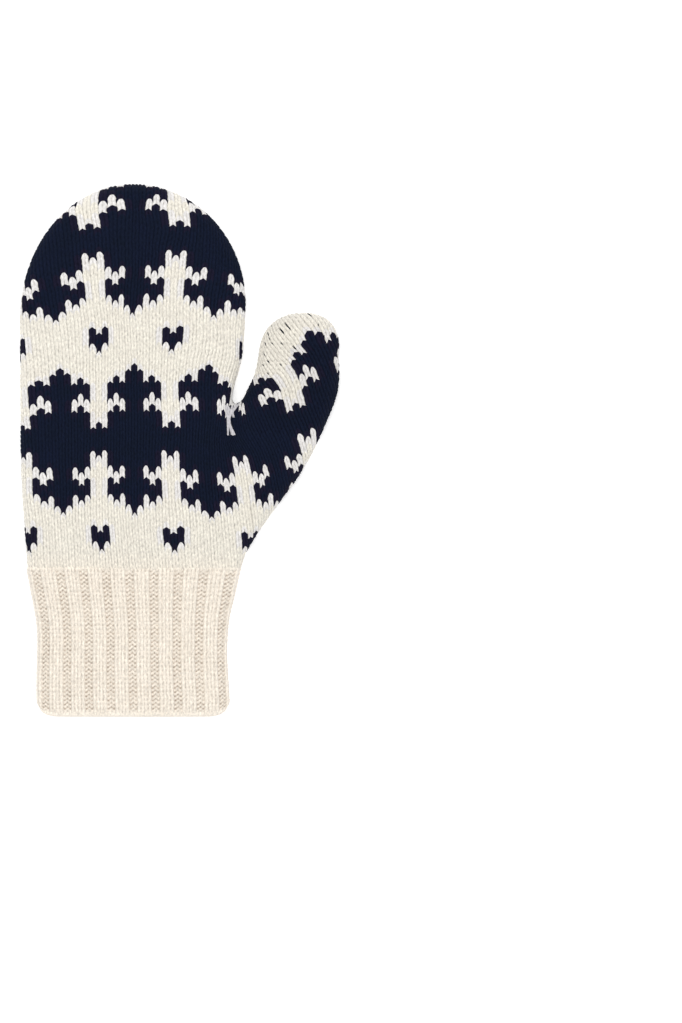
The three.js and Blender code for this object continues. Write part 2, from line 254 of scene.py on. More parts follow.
def painted_cuff_shading(rib, place, y, side, row):
    """Brightness of the cuff's stitches from 0 to 1, with painted shade in their creases, no two
    alike.
    """
    is_knit, u = across_wale(place)
    swing, wave = purl_bumps(place, row % 1.0)[1:]
    loose = np.random.default_rng(CUFF_SEED).random((CUFF_ROWS + 1, CUFF_WALES + 1))
    wale = np.clip(rib * 4 + np.where(place < 0.5, 0, 1) + (u > 0.95), 0, CUFF_WALES).astype(int)
    each = loose[np.clip(row, 0, CUFF_ROWS).astype(int), wale]
    knit = 0.2 + 0.8 * painted_stitch_shading(u, row % 1.0, 0.2 + 0.45 * each)
    # Painted shade in the zigzag grooves between the purl bumps.
    purl = 0.98 - (1 - wave) ** 2 * (0.25 + (0.42 + 0.72 * each) * np.abs(swing))
    painted_shading = np.where(is_knit, knit, 1 - rib_clearness(y, side, row) * (1 - purl))
    return np.where(side > 0, 1 - smooth(row, 0, 0.8) * (1 - painted_shading), 1)


def rib_lean(share, y):
    """How far the ribs on the back of the cuff lean to the left, more so towards the wrist."""
    on_back = smooth(share, 0.05, 0.3) * (1 - smooth(share, 0.42, 0.55))
    return on_back * (RIB_LEAN_LOW + (RIB_LEAN_HIGH - RIB_LEAN_LOW) * smooth(y, LEAN_START_Y, WRIST_Y))


def lay_cuff(profile, level, share, y, height):
    """Lays each level of the cuff round its section there, and lifts the corners of its lower edge."""
    places = np.empty((len(y), 3))
    for ring, (ring_y, inset, side, _) in enumerate(profile):
        members = np.where(level == ring)[0]
        xs, zs, length = cuff_section(ring_y, inset)
        at = share[members] * length[-1] - rib_lean(share[members], ring_y)
        x = np.interp(at, length, xs)
        z = np.interp(at, length, zs)
        ahead = (at + CUFF_PROBE) % length[-1]
        behind = (at - CUFF_PROBE) % length[-1]
        run = np.interp(ahead, length, xs) - np.interp(behind, length, xs)
        climb = np.interp(ahead, length, zs) - np.interp(behind, length, zs)
        stand = height[members] / np.hypot(run, climb) * (1 if side >= 0 else -1)
        from_corner = np.clip(1 - np.minimum(x - xs.min(), xs.max() - x) / CORNER_WIDTH, 0, 1)
        rise = CORNER_RISE * (1 - np.sqrt(1 - from_corner * from_corner))
        near_edge = 1 - smooth(ring_y, CUFF_EDGE_Y, CUFF_EDGE_Y + 3 * CORNER_RISE)
        places[members, 0] = x - climb * stand
        places[members, 1] = y[members] + rise * near_edge
        places[members, 2] = np.maximum(z + run * stand, CUFF_FLOOR_GAP)
    return places


def make_cuff():
    """The grid of the cuff, with the place, the painted crease shade and the stitch of each of its
    points.
    """
    profile = cuff_profile()
    bm, rib, place, level = rib_grid(profile)
    y, _, side, row = np.array(profile)[level].T
    is_knit, u = across_wale(place)
    head = RIB_HEAD_RISE * np.sqrt(np.clip(1 - (2 * u - 1) ** 2, 0, 1)) * is_knit
    y = y + head * CUFF_ROW_HEIGHT * smooth(side, 0.2, 1.0) * smooth(row, 0, 1.5)
    share = (rib + place + FIRST_RIB_SHARE) / CUFF_RIBS % 1.0
    places = lay_cuff(profile, level, share, y, cuff_relief(place, y, side, row))
    stitches = np.column_stack([rib * 4 + np.where(place < 0.5, 0, 1) + u, row])
    return bm, places, painted_cuff_shading(rib, place, y, side, row), stitches


def put_in_scene(name, data):
    """An object in the scene, at the origin, for a mesh, curve, lamp or camera."""
    thing = bpy.data.objects.new(name, data)
    bpy.context.scene.collection.objects.link(thing)
    return thing


def finish_mesh(name, bm, places, painted_shading, stitches, material):
    """Gives a grid its places in metres, its painted crease shade and its stitch map, and makes it a
    piece.
    """
    stitch_map = bm.loops.layers.uv.new("stitches")
    # The painted crease shade of each point goes to the wool under the name relief.
    painted_shading_layer = bm.verts.layers.float.new("relief")
    for index, vertex in enumerate(bm.verts):
        vertex.co = places[index] * MM
        vertex[painted_shading_layer] = float(painted_shading[index])
    bm.verts.index_update()
    for face in bm.faces:
        face.smooth = True
        for loop in face.loops:
            loop[stitch_map].uv = stitches[loop.vert.index]
    bmesh.ops.remove_doubles(bm, verts=bm.verts, dist=CUFF_MERGE)
    mesh = bpy.data.meshes.new(name)
    bm.to_mesh(mesh)
    bm.free()
    mesh.materials.append(material)
    return put_in_scene(name, mesh)


def point_value(tree, name):
    """A value that a material reads from the points of the mesh."""
    node = tree.nodes.new("ShaderNodeAttribute")
    node.attribute_name = name
    return node.outputs["Fac"]


def noise(tree, place, scale, detail, roughness=0.5):
    """Soft blotches in a material, the finer the higher their scale."""
    node = tree.nodes.new("ShaderNodeTexNoise")
    node.inputs["Scale"].default_value = scale
    node.inputs["Detail"].default_value = detail
    node.inputs["Roughness"].default_value = roughness
    tree.links.new(place, node.inputs["Vector"])
    return node.outputs["Fac"]


def mix(tree, amount, first, second):
    """A mix from the first to the second colour, each given as numbers or as the output of a node."""
    node = tree.nodes.new("ShaderNodeMix")
    node.data_type = "RGBA"
    tree.links.new(amount, node.inputs["Factor"])
    for socket, colour in (("A", first), ("B", second)):
        if isinstance(colour, tuple):
            node.inputs[socket].default_value = (*colour, 1)
        else:
            tree.links.new(colour, node.inputs[socket])
    return node.outputs["Result"]


def dye_take_up(tree, where):
    """How pale the yarn is: the dye takes a little differently in each stitch, over a soft mottle."""
    stitches = tree.nodes.new("ShaderNodeUVMap")
    stitches.uv_map = "stitches"
    whole = tree.nodes.new("ShaderNodeVectorMath")
    whole.operation = "FLOOR"
    tree.links.new(stitches.outputs["UV"], whole.inputs[0])
    each = tree.nodes.new("ShaderNodeTexWhiteNoise")
    each.noise_dimensions = "2D"
    tree.links.new(whole.outputs["Vector"], each.inputs["Vector"])
    amount = tree.nodes.new("ShaderNodeMath")
    amount.operation = "MULTIPLY_ADD"
    tree.links.new(each.outputs["Value"], amount.inputs[0])
    amount.inputs[1].default_value = STITCH_DYE
    tree.links.new(noise(tree, where, MOTTLE_SCALE, 3), amount.inputs[2])
    return amount.outputs["Value"]


def flecked(tree, where, colour):
    """A colour with fine light and dark flecks, drawn out along the wales."""
    stretch = tree.nodes.new("ShaderNodeMapping")
    stretch.inputs["Scale"].default_value = FLECK_STRETCH
    tree.links.new(where, stretch.inputs["Vector"])
    light = tree.nodes.new("ShaderNodeMapRange")
    light.inputs["From Min"].default_value = 0.3
    light.inputs["From Max"].default_value = 0.7
    light.inputs["To Min"].default_value = FLECK_DARKEST
    light.inputs["To Max"].default_value = FLECK_BRIGHTEST
    tree.links.new(noise(tree, stretch.outputs["Vector"], FLECK_SCALE, 3, 0.7), light.inputs["Value"])
    lit = tree.nodes.new("ShaderNodeVectorMath")
    lit.operation = "SCALE"
    tree.links.new(colour, lit.inputs[0])
    tree.links.new(light.outputs["Result"], lit.inputs["Scale"])
    return lit.outputs["Vector"]


def wool(name, pale, deep, crease_shade, chill):
    """Woollen yarn: soft fibres, uneven dyeing, and painted shade in the creases between the stitches.

    chill is the colour that the yarn takes beside the other colour, where its fibres mix in."""
    material = bpy.data.materials.new(name)
    material.use_nodes = True
    tree = material.node_tree
    shader = tree.nodes["Principled BSDF"]
    shader.inputs["Roughness"].default_value = 0.92
    shader.inputs["Specular IOR Level"].default_value = 0.15
    shader.inputs["Sheen Weight"].default_value = 0.6
    shader.inputs["Sheen Roughness"].default_value = 0.6

    where = tree.nodes.new("ShaderNodeTexCoord").outputs["Object"]
    colour = mix(tree, dye_take_up(tree, where), deep, pale)
    colour = mix(tree, point_value(tree, "beside_other_colour"), colour, chill)
    colour = mix(tree, point_value(tree, "near_cuff"), colour, CUFF_TONE)
    # Painted shade: the relief value of each point darkens the yarn towards crease_shade in the
    # creases and dots.
    colour = mix(tree, point_value(tree, "relief"), crease_shade, colour)
    tree.links.new(flecked(tree, where, colour), shader.inputs["Base Color"])

    bump = tree.nodes.new("ShaderNodeBump")
    bump.inputs["Strength"].default_value = 0.55
    bump.inputs["Distance"].default_value = FIBRE_DEPTH * MM
    tree.links.new(noise(tree, where, FIBRE_SCALE, 4, 0.65), bump.inputs["Height"])
    tree.links.new(bump.outputs["Normal"], shader.inputs["Normal"])
    return material


cuff_wool = wool(
    "cuff_wool",
    pale=(0.95, 0.87, 0.76),
    deep=(0.90, 0.81, 0.69),
    crease_shade=(0.45, 0.36, 0.28),
    chill=(0.95, 0.87, 0.76))
cuff = finish_mesh("ribbed_cuff", *make_cuff(), cuff_wool)
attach(cuff, "root")
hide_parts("cuff")

# Hand
# The bag for the palm and fingers, knitted in stocking stitch with two strands, cream and navy. It
# lies flat and swells softly between its folds, and its palm is the same cloth seen from below.
FOLD_EXTRA = (math.pi / 2 - 1) * FOLD_RADIUS
UNDERSIDE = 0.45
CLOTH_FLOOR_GAP = 0.03
CLOTH_MERGE = 0.00001
BEHIND_CUFF_Y = -70.0
THUMB_BASE_Y = 7.6
CROTCH = np.array([26.3, 21.8])
CROTCH_POINT = 0.5
CROTCH_ROW = 7.0
FLAT_AT_CROTCH = 10.0           # how near the crotch the cloth isn't folded round at all
FOLDED_FROM_CROTCH = 32.0       # how far from it the folds are full
SLOT_DEPTH = 6.0
THUMB_CROWN = 4.6
HAND_REACH = 50.0               # how far in from its folds the hand, and the thumb, keeps rising
THUMB_REACH = 19.5
BROAD_SWELL = 0.34
NARROW_SWELL = 0.14
EDGE_STEP = 0.3
EDGE_REACH = 3.0                # past this the way out is straight to the nearest sample
POINTS_AT_ONCE = 20000

# The knitting: how wales and rows would lie unstretched, and the shape of a stitch in shares of them
CUT_WALE = 24.5                 # the line between hand and thumb
WALE_PITCH = 2.8435
ROW_PITCH = 2.5944
MIDDLE_WALE_X = -37.88
MIDDLE_ROW_Y = 5.52
HEAD_RISE = 0.83
HEAD_POINT = 0.9
HEAD_CURVE = 2.4
NAVY_BULGE = 0.07
FOOT_NOTCH = 0.34
PRONG_HANG = 0.38
PRONG_NOTCH = 0.52
PRONG_WAIST = 1.7
STITCH_DEPTH = 0.9
STITCH_BASE = -0.55
STITCH_COLUMNS = (0.0, 0.1, 0.26, 0.42, 0.5, 0.58, 0.74, 0.9)
STITCH_STEPS = (0.0, 0.2, 0.55, 0.86)
LINING_COLUMNS = (0.0, 0.5)
LINING_STEPS = (0.0, 0.5)
LINING_RELIEF = 0.15
LOOSENESS = 0.035
LOOSE_FIRST_WALE = -40
LOOSE_WALES = 110
LOOSE_FIRST_ROW = -50
LOOSE_ROWS = 140
LOOSE_SEED = 11
DOT_SEED = 23
THUMB_SHADE = 0.12

# The pattern and the seams, in wales and rows
REPEAT = 12
BAND_REPEAT = 36
PRONG_ROWS = (17, 23)
LAST_PLAIN_ROW = -21
WRIST_ROW = -23.4
WRIST_SINK = 1.6
NEAR_CUFF_ROWS = 4.5
LAST_HEART_ROW = 21
LAST_BACK_WALE = 22
FIRST_THUMB_WALE = 30
SEAM_WALES = 1.5
SEAM_LOW_ROW = 3
SEAM_TOP_ROW = 7
CLOTH_GRIDS = {
    "hand": {"first_wale": -17, "wales": 60, "first_row": -24, "rows": 76},
    "thumb": {"first_wale": 25, "wales": 23, "first_row": -8, "rows": 40},
}

# Sides and crown of the mitten at heights y, from the wrist to the tip
HAND_CROWN = [
    {"y": -55.2, "crown": 5.4},
    {"y": -47.8, "crown": 5.8},
    {"y": -36.5, "crown": 6.4},
    {"y": -25.3, "crown": 6.8},
    {"y": -14.0, "crown": 7.0},
]
HAND_SIDES = [
    {"y": -70.0, "left": -70.2, "right": 24.0},
    {"y": -55.2, "left": -71.1, "right": 28.7},
    {"y": -47.8, "left": -71.7, "right": 31.3},
    {"y": -36.5, "left": -72.5, "right": 38.3},
    {"y": -25.3, "left": -73.3, "right": 46.2},
    {"y": -14.0, "left": -74.0, "right": 54.6},
    {"y": -2.7, "left": -74.3, "right": 61.4},
    {"y": 7.6, "left": -74.4, "right": 66.5},
]
HAND_INNER_SIDE = [
    {"y": 21.8, "right": 26.3},
    {"y": 22.5, "right": 25.2},
    {"y": 24.6, "right": 24.8},
    {"y": 31.1, "right": 26.0},
    {"y": 42.4, "right": 28.9},
    {"y": 54.0, "right": 30.2},
    {"y": 68.7, "right": 30.9},
]
HAND_SHOULDER_LEFT = (-74.7, 61.2)
HAND_SHOULDER_RIGHT = (30.9, 68.7)
HAND_TIP = (-21.9, 124.8)
THUMB_INNER_SIDE = [
    {"y": 21.8, "left": 26.3},
    {"y": 22.5, "left": 28.2},
    {"y": 24.6, "left": 30.2},
    {"y": 28.0, "left": 31.8},
    {"y": 35.5, "left": 35.4},
    {"y": 44.3, "left": 37.4},
]
THUMB_OUTER_SIDE = [
    {"y": 7.6, "right": 66.5},
    {"y": 15.2, "right": 69.7},
    {"y": 21.7, "right": 72.4},
    {"y": 28.0, "right": 74.2},
    {"y": 35.5, "right": 74.9},
    {"y": 44.3, "right": 74.6},
]
THUMB_SHOULDER = (56.0, 44.3)
THUMB_TIP = (58.0, 64.3)
THUMB_HALF_WIDTH = 18.6
THUMB_ROUNDNESS = 2.4

# Where marked stitches of the pattern lie. Wales count from the middle of a heart towards the thumb
# and rows from the middle of the broad navy band towards the tip. The cloth lies smoothly between.
CLOTH_SLACK = 0.6
CLOTH_MARKS = [
    {"wale": -12, "row": -20.07, "x": -71.2, "y": -48.4},
    {"wale": -11, "row": -15.17, "x": -68.6, "y": -35.7},
    {"wale": 0, "row": -20.07, "x": -36.2, "y": -47.7},
    {"wale": 12, "row": -20.07, "x": -2.1, "y": -48.1},
    {"wale": -1, "row": -15.17, "x": -39.9, "y": -35.1},
    {"wale": 11, "row": -15.17, "x": -6.0, "y": -36.1},
    {"wale": 13, "row": -15.17, "x": 0.8, "y": -35.7},
    {"wale": 25, "row": -15.17, "x": 36.5, "y": -38.3},
    {"wale": 6, "row": -14.07, "x": -20.8, "y": -30.7},
    {"wale": 17, "row": -12.17, "x": 12.0, "y": -28.4},
    {"wale": 29, "row": -12.17, "x": 46.2, "y": -24.2},
    {"wale": -9, "row": -10.17, "x": -63.2, "y": -21.5},
    {"wale": 26, "row": -10.17, "x": 37.3, "y": -22.9},
    {"wale": 20, "row": -5.17, "x": 18.8, "y": -10.1},
    {"wale": 26, "row": -5.17, "x": 35.2, "y": -10.1},
    {"wale": 28, "row": -5.17, "x": 39.7, "y": -6.8},
    {"wale": 32, "row": -5.17, "x": 50.1, "y": -2.7},
    {"wale": 34, "row": -5.17, "x": 55.8, "y": -1.8},
    {"wale": -6, "row": -14.07, "x": -54.4, "y": -30.4},
    {"wale": 18, "row": -14.07, "x": 15.3, "y": -32.2},
    {"wale": -10.5, "row": -10, "x": -68.8, "y": -19.6},
    {"wale": -11, "row": -2.17, "x": -70.7, "y": -0.9},
    {"wale": -10.5, "row": 2.5, "x": -69.6, "y": 9.9},
    {"wale": 1, "row": -2.17, "x": -34.9, "y": 0.0},
    {"wale": 11, "row": -2.17, "x": -7.0, "y": 0.1},
    {"wale": 25, "row": -2.17, "x": 30.5, "y": -2.2},
    {"wale": -1, "row": 2.5, "x": -40.4, "y": 9.9},
    {"wale": 11, "row": 2.5, "x": -6.4, "y": 10.5},
    {"wale": 22.5, "row": 2.5, "x": 22.1, "y": 7.2},
    {"wale": 20, "row": 5.5, "x": 19.0, "y": 16.7},
    {"wale": 21, "row": 6.83, "x": 20.8, "y": 19.1},
    {"wale": 22.5, "row": 9, "x": 24.0, "y": 25.5},
    {"wale": -10.5, "row": 8.33, "x": -70.7, "y": 22.2},
    {"wale": -9, "row": 8.83, "x": -65.2, "y": 25.6},
    {"wale": 3, "row": 8.83, "x": -29.5, "y": 26.9},
    {"wale": 15, "row": 8.83, "x": 4.1, "y": 27.4},
    {"wale": 20, "row": 7.83, "x": 18.8, "y": 24.1},
    {"wale": -10, "row": 10.83, "x": -69.6, "y": 30.9},
    {"wale": -9, "row": 11.83, "x": -66.0, "y": 32.6},
    {"wale": 3, "row": 11.83, "x": -29.4, "y": 35.2},
    {"wale": 21, "row": 11.83, "x": 22.3, "y": 32.5},
    {"wale": 6, "row": 13.83, "x": -21.0, "y": 40.7},
    {"wale": 18, "row": 13.83, "x": 14.3, "y": 40.4},
    {"wale": -10.5, "row": 16.93, "x": -72.1, "y": 43.8},
    {"wale": -11, "row": 20.83, "x": -74.9, "y": 52.4},
    {"wale": 1, "row": 20.83, "x": -34.7, "y": 57.9},
    {"wale": 11, "row": 20.83, "x": -5.9, "y": 57.9},
    {"wale": 23, "row": 20.83, "x": 29.8, "y": 51.4},
    {"wale": 22.5, "row": 16.93, "x": 28.8, "y": 41.0},
    {"wale": -6, "row": 21.93, "x": -57.9, "y": 59.8},
    {"wale": 6, "row": 21.93, "x": -21.9, "y": 63.1},
    {"wale": 18, "row": 21.93, "x": 16.2, "y": 62.2},
    {"wale": -10, "row": 25.83, "x": -72.6, "y": 65.0},
    {"wale": 16, "row": 25.83, "x": 10.1, "y": 72.5},
    {"wale": 20, "row": 25.83, "x": 23.0, "y": 70.4},
    {"wale": 22, "row": 25.83, "x": 29.4, "y": 66.9},
    {"wale": -8, "row": 30.83, "x": -68.6, "y": 80.3},
    {"wale": 4, "row": 30.83, "x": -26.6, "y": 86.4},
    {"wale": 16, "row": 30.83, "x": 12.0, "y": 85.8},
    {"wale": 20, "row": 30.83, "x": 24.5, "y": 82.8},
    {"wale": 21, "row": 29.83, "x": 27.5, "y": 78.6},
    {"wale": 22, "row": 30.83, "x": 29.8, "y": 78.6},
    {"wale": 1, "row": 33.83, "x": -37.4, "y": 93.2},
    {"wale": 11, "row": 33.83, "x": -4.7, "y": 93.9},
    {"wale": -1.5, "row": 38.5, "x": -47.2, "y": 103.0},
    {"wale": 1.5, "row": 38.5, "x": -36.8, "y": 104.2},
    {"wale": 10.5, "row": 38.5, "x": -4.5, "y": 105.0},
    {"wale": 13.5, "row": 38.5, "x": 5.4, "y": 104.6},
    {"wale": -2.5, "row": 41.5, "x": -52.1, "y": 109.8},
    {"wale": -1.5, "row": 41.5, "x": -48.5, "y": 110.1},
    {"wale": 2.5, "row": 41.5, "x": -33.6, "y": 111.3},
    {"wale": 2, "row": 43.83, "x": -36.0, "y": 117.0},
    {"wale": 4, "row": 41.33, "x": -26.6, "y": 112.2},
    {"wale": 8, "row": 41.33, "x": -14.6, "y": 112.2},
    {"wale": 3, "row": 44.83, "x": -31.5, "y": 120.0},
    {"wale": 9, "row": 44.83, "x": -10.4, "y": 120.2},
    {"wale": 37, "row": -2.17, "x": 62.1, "y": 10.5},
    {"wale": 25.5, "row": 2.5, "x": 26.6, "y": 6.9},
    {"wale": 37.5, "row": 2.5, "x": 59.6, "y": 21.0},
    {"wale": 32, "row": 7.83, "x": 37.6, "y": 26.2},
    {"wale": 34, "row": 7.83, "x": 45.6, "y": 28.0},
    {"wale": 44, "row": 7.83, "x": 73.3, "y": 43.8},
    {"wale": 38, "row": 10.83, "x": 53.0, "y": 42.1},
    {"wale": 33, "row": 11.83, "x": 37.3, "y": 34.1},
    {"wale": 41, "row": 12.83, "x": 58.2, "y": 51.3},
    {"wale": 39, "row": 8.83, "x": 58.3, "y": 39.9},
    {"wale": 40, "row": 7.83, "x": 62.2, "y": 39.0},
    {"wale": 39.5, "row": 10.5, "x": 57.3, "y": 44.6},
    {"wale": 40.5, "row": 10.5, "x": 60.1, "y": 45.4},
    {"wale": 41.5, "row": 12.5, "x": 59.4, "y": 51.6},
    {"wale": 42.5, "row": 12.5, "x": 63.6, "y": 54.0},
    {"wale": 43, "row": 12.83, "x": 65.0, "y": 55.6},
    {"wale": 42, "row": 13.83, "x": 59.9, "y": 56.0},
    {"wale": 43.5, "row": 10.5, "x": 69.1, "y": 50.1},
    {"wale": 44.5, "row": 10.5, "x": 71.8, "y": 51.5},
    {"wale": 45, "row": 11.83, "x": 71.9, "y": 55.6},
    {"wale": 45, "row": 8.83, "x": 76.2, "y": 47.6},
    {"wale": 43.5, "row": 5.5, "x": 75.0, "y": 36.2},
    {"wale": 36.5, "row": 16.2, "x": 40.4, "y": 49.6},
    {"wale": 39.5, "row": 16.2, "x": 48.0, "y": 55.9},
    {"wale": 40.5, "row": 15.5, "x": 52.7, "y": 56.0},
    {"wale": 41.5, "row": 15.5, "x": 55.2, "y": 58.1},
    {"wale": 43.5, "row": 16.4, "x": 61.4, "y": 64.3},
    {"wale": 42, "row": 18.5, "x": 51.5, "y": 66.4},
]


def even_place(marks):
    """Where wales and rows would lie in cloth with no stretch, as x and y."""
    wale, row = marks.T
    return np.column_stack([MIDDLE_WALE_X + WALE_PITCH * wale, MIDDLE_ROW_Y + ROW_PITCH * row])


def bending(marks, others):
    """How far a bend at each of the other marks carries to each mark, as in a thin bent sheet."""
    apart = np.hypot(marks[:, 0:1] - others[None, :, 0], marks[:, 1:2] - others[None, :, 1])
    return apart * apart * np.log(apart + 1e-9)


def fit_cloth():
    """The marked stitches, and the bends that carry the cloth through all of them almost exactly."""
    marks = np.array([[mark["wale"], mark["row"]] for mark in CLOTH_MARKS], float)
    places = np.array([[mark["x"], mark["y"]] for mark in CLOTH_MARKS], float)
    count = len(marks)
    flat = np.column_stack([np.ones(count), marks])
    system = np.zeros((count + 3, count + 3))
    system[:count, :count] = bending(marks, marks) + np.eye(count) * CLOTH_SLACK
    system[:count, count:] = flat
    system[count:, :count] = flat.T
    shifts = np.zeros((count + 3, 2))
    shifts[:count] = places - even_place(marks)
    return marks, np.linalg.solve(system, shifts)


CLOTH = fit_cloth()


def cloth_place(marks):
    """Where points of the cloth, given as wale and row, lie as x and y in millimetres."""
    anchors, weights = CLOTH
    places = even_place(marks)
    for start in range(0, len(marks), POINTS_AT_ONCE):
        part = marks[start:start + POINTS_AT_ONCE]
        flat = np.column_stack([np.ones(len(part)), part])
        bent = bending(part, anchors) @ weights[:-3]
        places[start:start + POINTS_AT_ONCE] += bent + flat @ weights[-3:]
    return places


def is_navy(wale, row):
    """The knitter's chart: broad navy bands set with cream lozenges, and small navy hearts between.

    Over the crotch the repeats of the back end at the fold, where its last wale is widened."""
    wale = np.where((row > LAST_HEART_ROW) & (wale > LAST_BACK_WALE), LAST_BACK_WALE, wale)
    across = (wale + 5) % REPEAT - 5
    c = np.abs(across)
    r = np.abs((row + BAND_REPEAT // 2) % BAND_REPEAT - BAND_REPEAT // 2)
    below = (-row) % BAND_REPEAT
    band = r <= 2
    band |= (r == 3) & (c != 1)
    band |= np.isin(r, (4, 5, 9, 10)) & (c > 1)
    band |= np.isin(r, (6, 11)) & (c > 2) & (c != 4)
    band |= (r == 7) & (c > 4)
    band |= (r == 8) & (c > 1) & (c != 3)
    band |= (r == 12) & (c >= 5)
    band |= (r == 13) & (c == 6)
    heart = np.isin(below, (16, 17, 18)) & (c == 1)
    heart |= np.isin(below, (17, 18, 19)) & (c == 0)
    heart &= (wale < FIRST_THUMB_WALE) | (row < 0)
    at_crotch = (np.abs(wale - CUT_WALE) <= SEAM_WALES) & (row >= SEAM_LOW_ROW) & (row <= SEAM_TOP_ROW)
    return (band & (row > LAST_PLAIN_ROW)) | heart | at_crotch


def sample_edge(points):
    """Close, even samples along an edge, with the way out of the cloth to its left."""
    points = np.array(points)
    length = np.concatenate([[0], np.cumsum(np.hypot(*np.diff(points, axis=0).T))])
    at = np.linspace(0, length[-1], int(length[-1] / EDGE_STEP) + 2)
    samples = np.column_stack([np.interp(at, length, values) for values in points.T])
    heading = np.gradient(samples, axis=0)
    heading /= np.hypot(*heading.T)[:, None]
    return samples, np.column_stack([-heading[:, 1], heading[:, 0]])


def side_points(table, column, low, high):
    """Points up one side of the mitten, from its table."""
    y = np.linspace(low, high, 160)
    return np.column_stack([along(table, y, column), y])


def edge_of_hand():
    """The edge of the hand from the wrist up its outer side, round the tip and down to the crotch."""
    left = side_points(HAND_SIDES, "left", BEHIND_CUFF_Y, THUMB_BASE_Y)
    quarter = np.linspace(0, math.pi / 2, 60)
    tip_x, tip_y = HAND_TIP
    left_x, left_y = HAND_SHOULDER_LEFT
    right_x, right_y = HAND_SHOULDER_RIGHT
    rising = np.column_stack([
        tip_x + (left_x - tip_x) * np.cos(quarter),
        left_y + (tip_y - left_y) * np.sin(quarter)])
    falling = np.column_stack([
        tip_x + (right_x - tip_x) * np.sin(quarter),
        right_y + (tip_y - right_y) * np.cos(quarter)])
    inner = side_points(HAND_INNER_SIDE, "right", CROTCH[1], HAND_SHOULDER_RIGHT[1])[::-1]
    return np.concatenate([left, rising, falling[1:], inner[1:]])


def edge_of_gusset():
    """The side of the gusset, from the base of the thumb down to the wrist."""
    return side_points(HAND_SIDES, "right", BEHIND_CUFF_Y, THUMB_BASE_Y)[::-1]


def edge_of_thumb():
    """The edge of the thumb from the crotch round its tip, and down the gusset to the wrist."""
    left = side_points(THUMB_INNER_SIDE, "left", CROTCH[1], THUMB_SHOULDER[1])
    half_turn = np.linspace(0, math.pi, 100)[1:-1]
    rise = np.sin(half_turn) ** (2 / THUMB_ROUNDNESS)
    spread = np.abs(np.cos(half_turn)) ** (2 / THUMB_ROUNDNESS) * np.sign(np.cos(half_turn))
    middle = THUMB_SHOULDER[0] + (THUMB_TIP[0] - THUMB_SHOULDER[0]) * rise
    tip = np.column_stack([
        middle - THUMB_HALF_WIDTH * spread,
        THUMB_SHOULDER[1] + (THUMB_TIP[1] - THUMB_SHOULDER[1]) * rise])
    right = side_points(THUMB_OUTER_SIDE, "right", THUMB_BASE_Y, THUMB_SHOULDER[1])[::-1]
    return np.concatenate([left, tip, right, edge_of_gusset()[1:]])


def join_edges(*edges):
    """Edges as one set of samples, with the ways out of the cloth and a tree to find the nearest."""
    parts = [sample_edge(edge) for edge in edges]
    samples = np.concatenate([part[0] for part in parts])
    outward = np.concatenate([part[1] for part in parts])
    tree = KDTree(len(samples))
    for index, (x, y) in enumerate(samples):
        tree.insert((x, y, 0), index)
    tree.balance()
    return samples, outward, tree


HAND_EDGE = join_edges(edge_of_hand(), edge_of_gusset())
THUMB_EDGE = join_edges(edge_of_thumb())


def depth_inside(places, edge):
    """How far places lie inside an edge, and the way out to it. Outside it the depth is negative."""
    samples, outward, tree = edge
    nearest = np.array([tree.find((x, y, 0))[1] for x, y in places], int)
    gap = samples[nearest] - places
    out = outward[nearest].copy()
    depth = (gap * out).sum(axis=1)
    distance = np.hypot(*gap.T)
    far = distance > EDGE_REACH
    depth[far] = distance[far] * np.where(depth[far] < 0, -1, 1)
    out[far] = gap[far] / depth[far][:, None]
    at_crotch = np.hypot(*(samples[nearest] - CROTCH).T) < CROTCH_POINT
    at_crotch &= places[:, 1] < CROTCH[1]
    depth[at_crotch] = distance[at_crotch]
    out[at_crotch] = gap[at_crotch] / np.maximum(distance[at_crotch], 0.01)[:, None]
    return depth, out


def uneven(x, y):
    """The soft waves of cloth that lies loosely, broad ones and narrow ones, as a height."""
    broad = np.sin(x / 17 + 1.3 * np.sin(y / 31)) * np.cos(y / 23 + 0.7 * np.sin(x / 27 + 1))
    narrow = np.sin(x / 8.3 + y / 14 + 2) * np.sin(y / 9.1 - x / 21)
    return BROAD_SWELL * broad + NARROW_SWELL * narrow


def fold_cloth(marks, at_thumb):
    """Lays points of the cloth flat inside the edge, less what its folds take up.

    Returns places, how far inside the edge they are, the way out, and which are beyond the fold."""
    flat = cloth_place(marks)
    depth = np.empty(len(flat))
    out = np.empty((len(flat), 2))
    for members, edge in ((~at_thumb, HAND_EDGE), (at_thumb, THUMB_EDGE)):
        depth[members], out[members] = depth_inside(flat[members], edge)
    turned = smooth(np.hypot(*(flat - CROTCH).T), FLAT_AT_CROTCH, FOLDED_FROM_CROTCH)
    along_cloth = depth + FOLD_EXTRA * turned
    on_slot = (np.abs(marks[:, 0] - CUT_WALE) < 0.001) & (marks[:, 1] > CROTCH_ROW)
    along_cloth = np.where(on_slot & (depth > -SLOT_DEPTH), 0, along_cloth)
    kept = np.maximum(along_cloth, 0)
    rolled = FOLD_RADIUS * (1 - np.cos(np.minimum(kept / FOLD_RADIUS, math.pi / 2)))
    rolled += np.maximum(kept - FOLD_RADIUS * math.pi / 2, 0)
    inside = (1 - turned) * kept + turned * rolled
    return flat + out * (depth - inside)[:, None], inside, out, along_cloth < 0


def swell(x, y, at_thumb):
    """The crown of the back and the reach of its rise, which differ between hand and thumb.

    Above the crotch they blend over the fold, and below it each side of the cut keeps its own."""
    thumb_share = smooth(y, -15, 9) * smooth(x, 18, 34)
    below_crotch = 1 - smooth(y, 20, CROTCH[1])
    thumb_share = thumb_share * (1 - below_crotch) + at_thumb * below_crotch
    hand_crown = np.interp(y, [row["y"] for row in HAND_CROWN], [row["crown"] for row in HAND_CROWN])
    crown = hand_crown + (THUMB_CROWN - hand_crown) * thumb_share
    return crown, HAND_REACH + (THUMB_REACH - HAND_REACH) * thumb_share


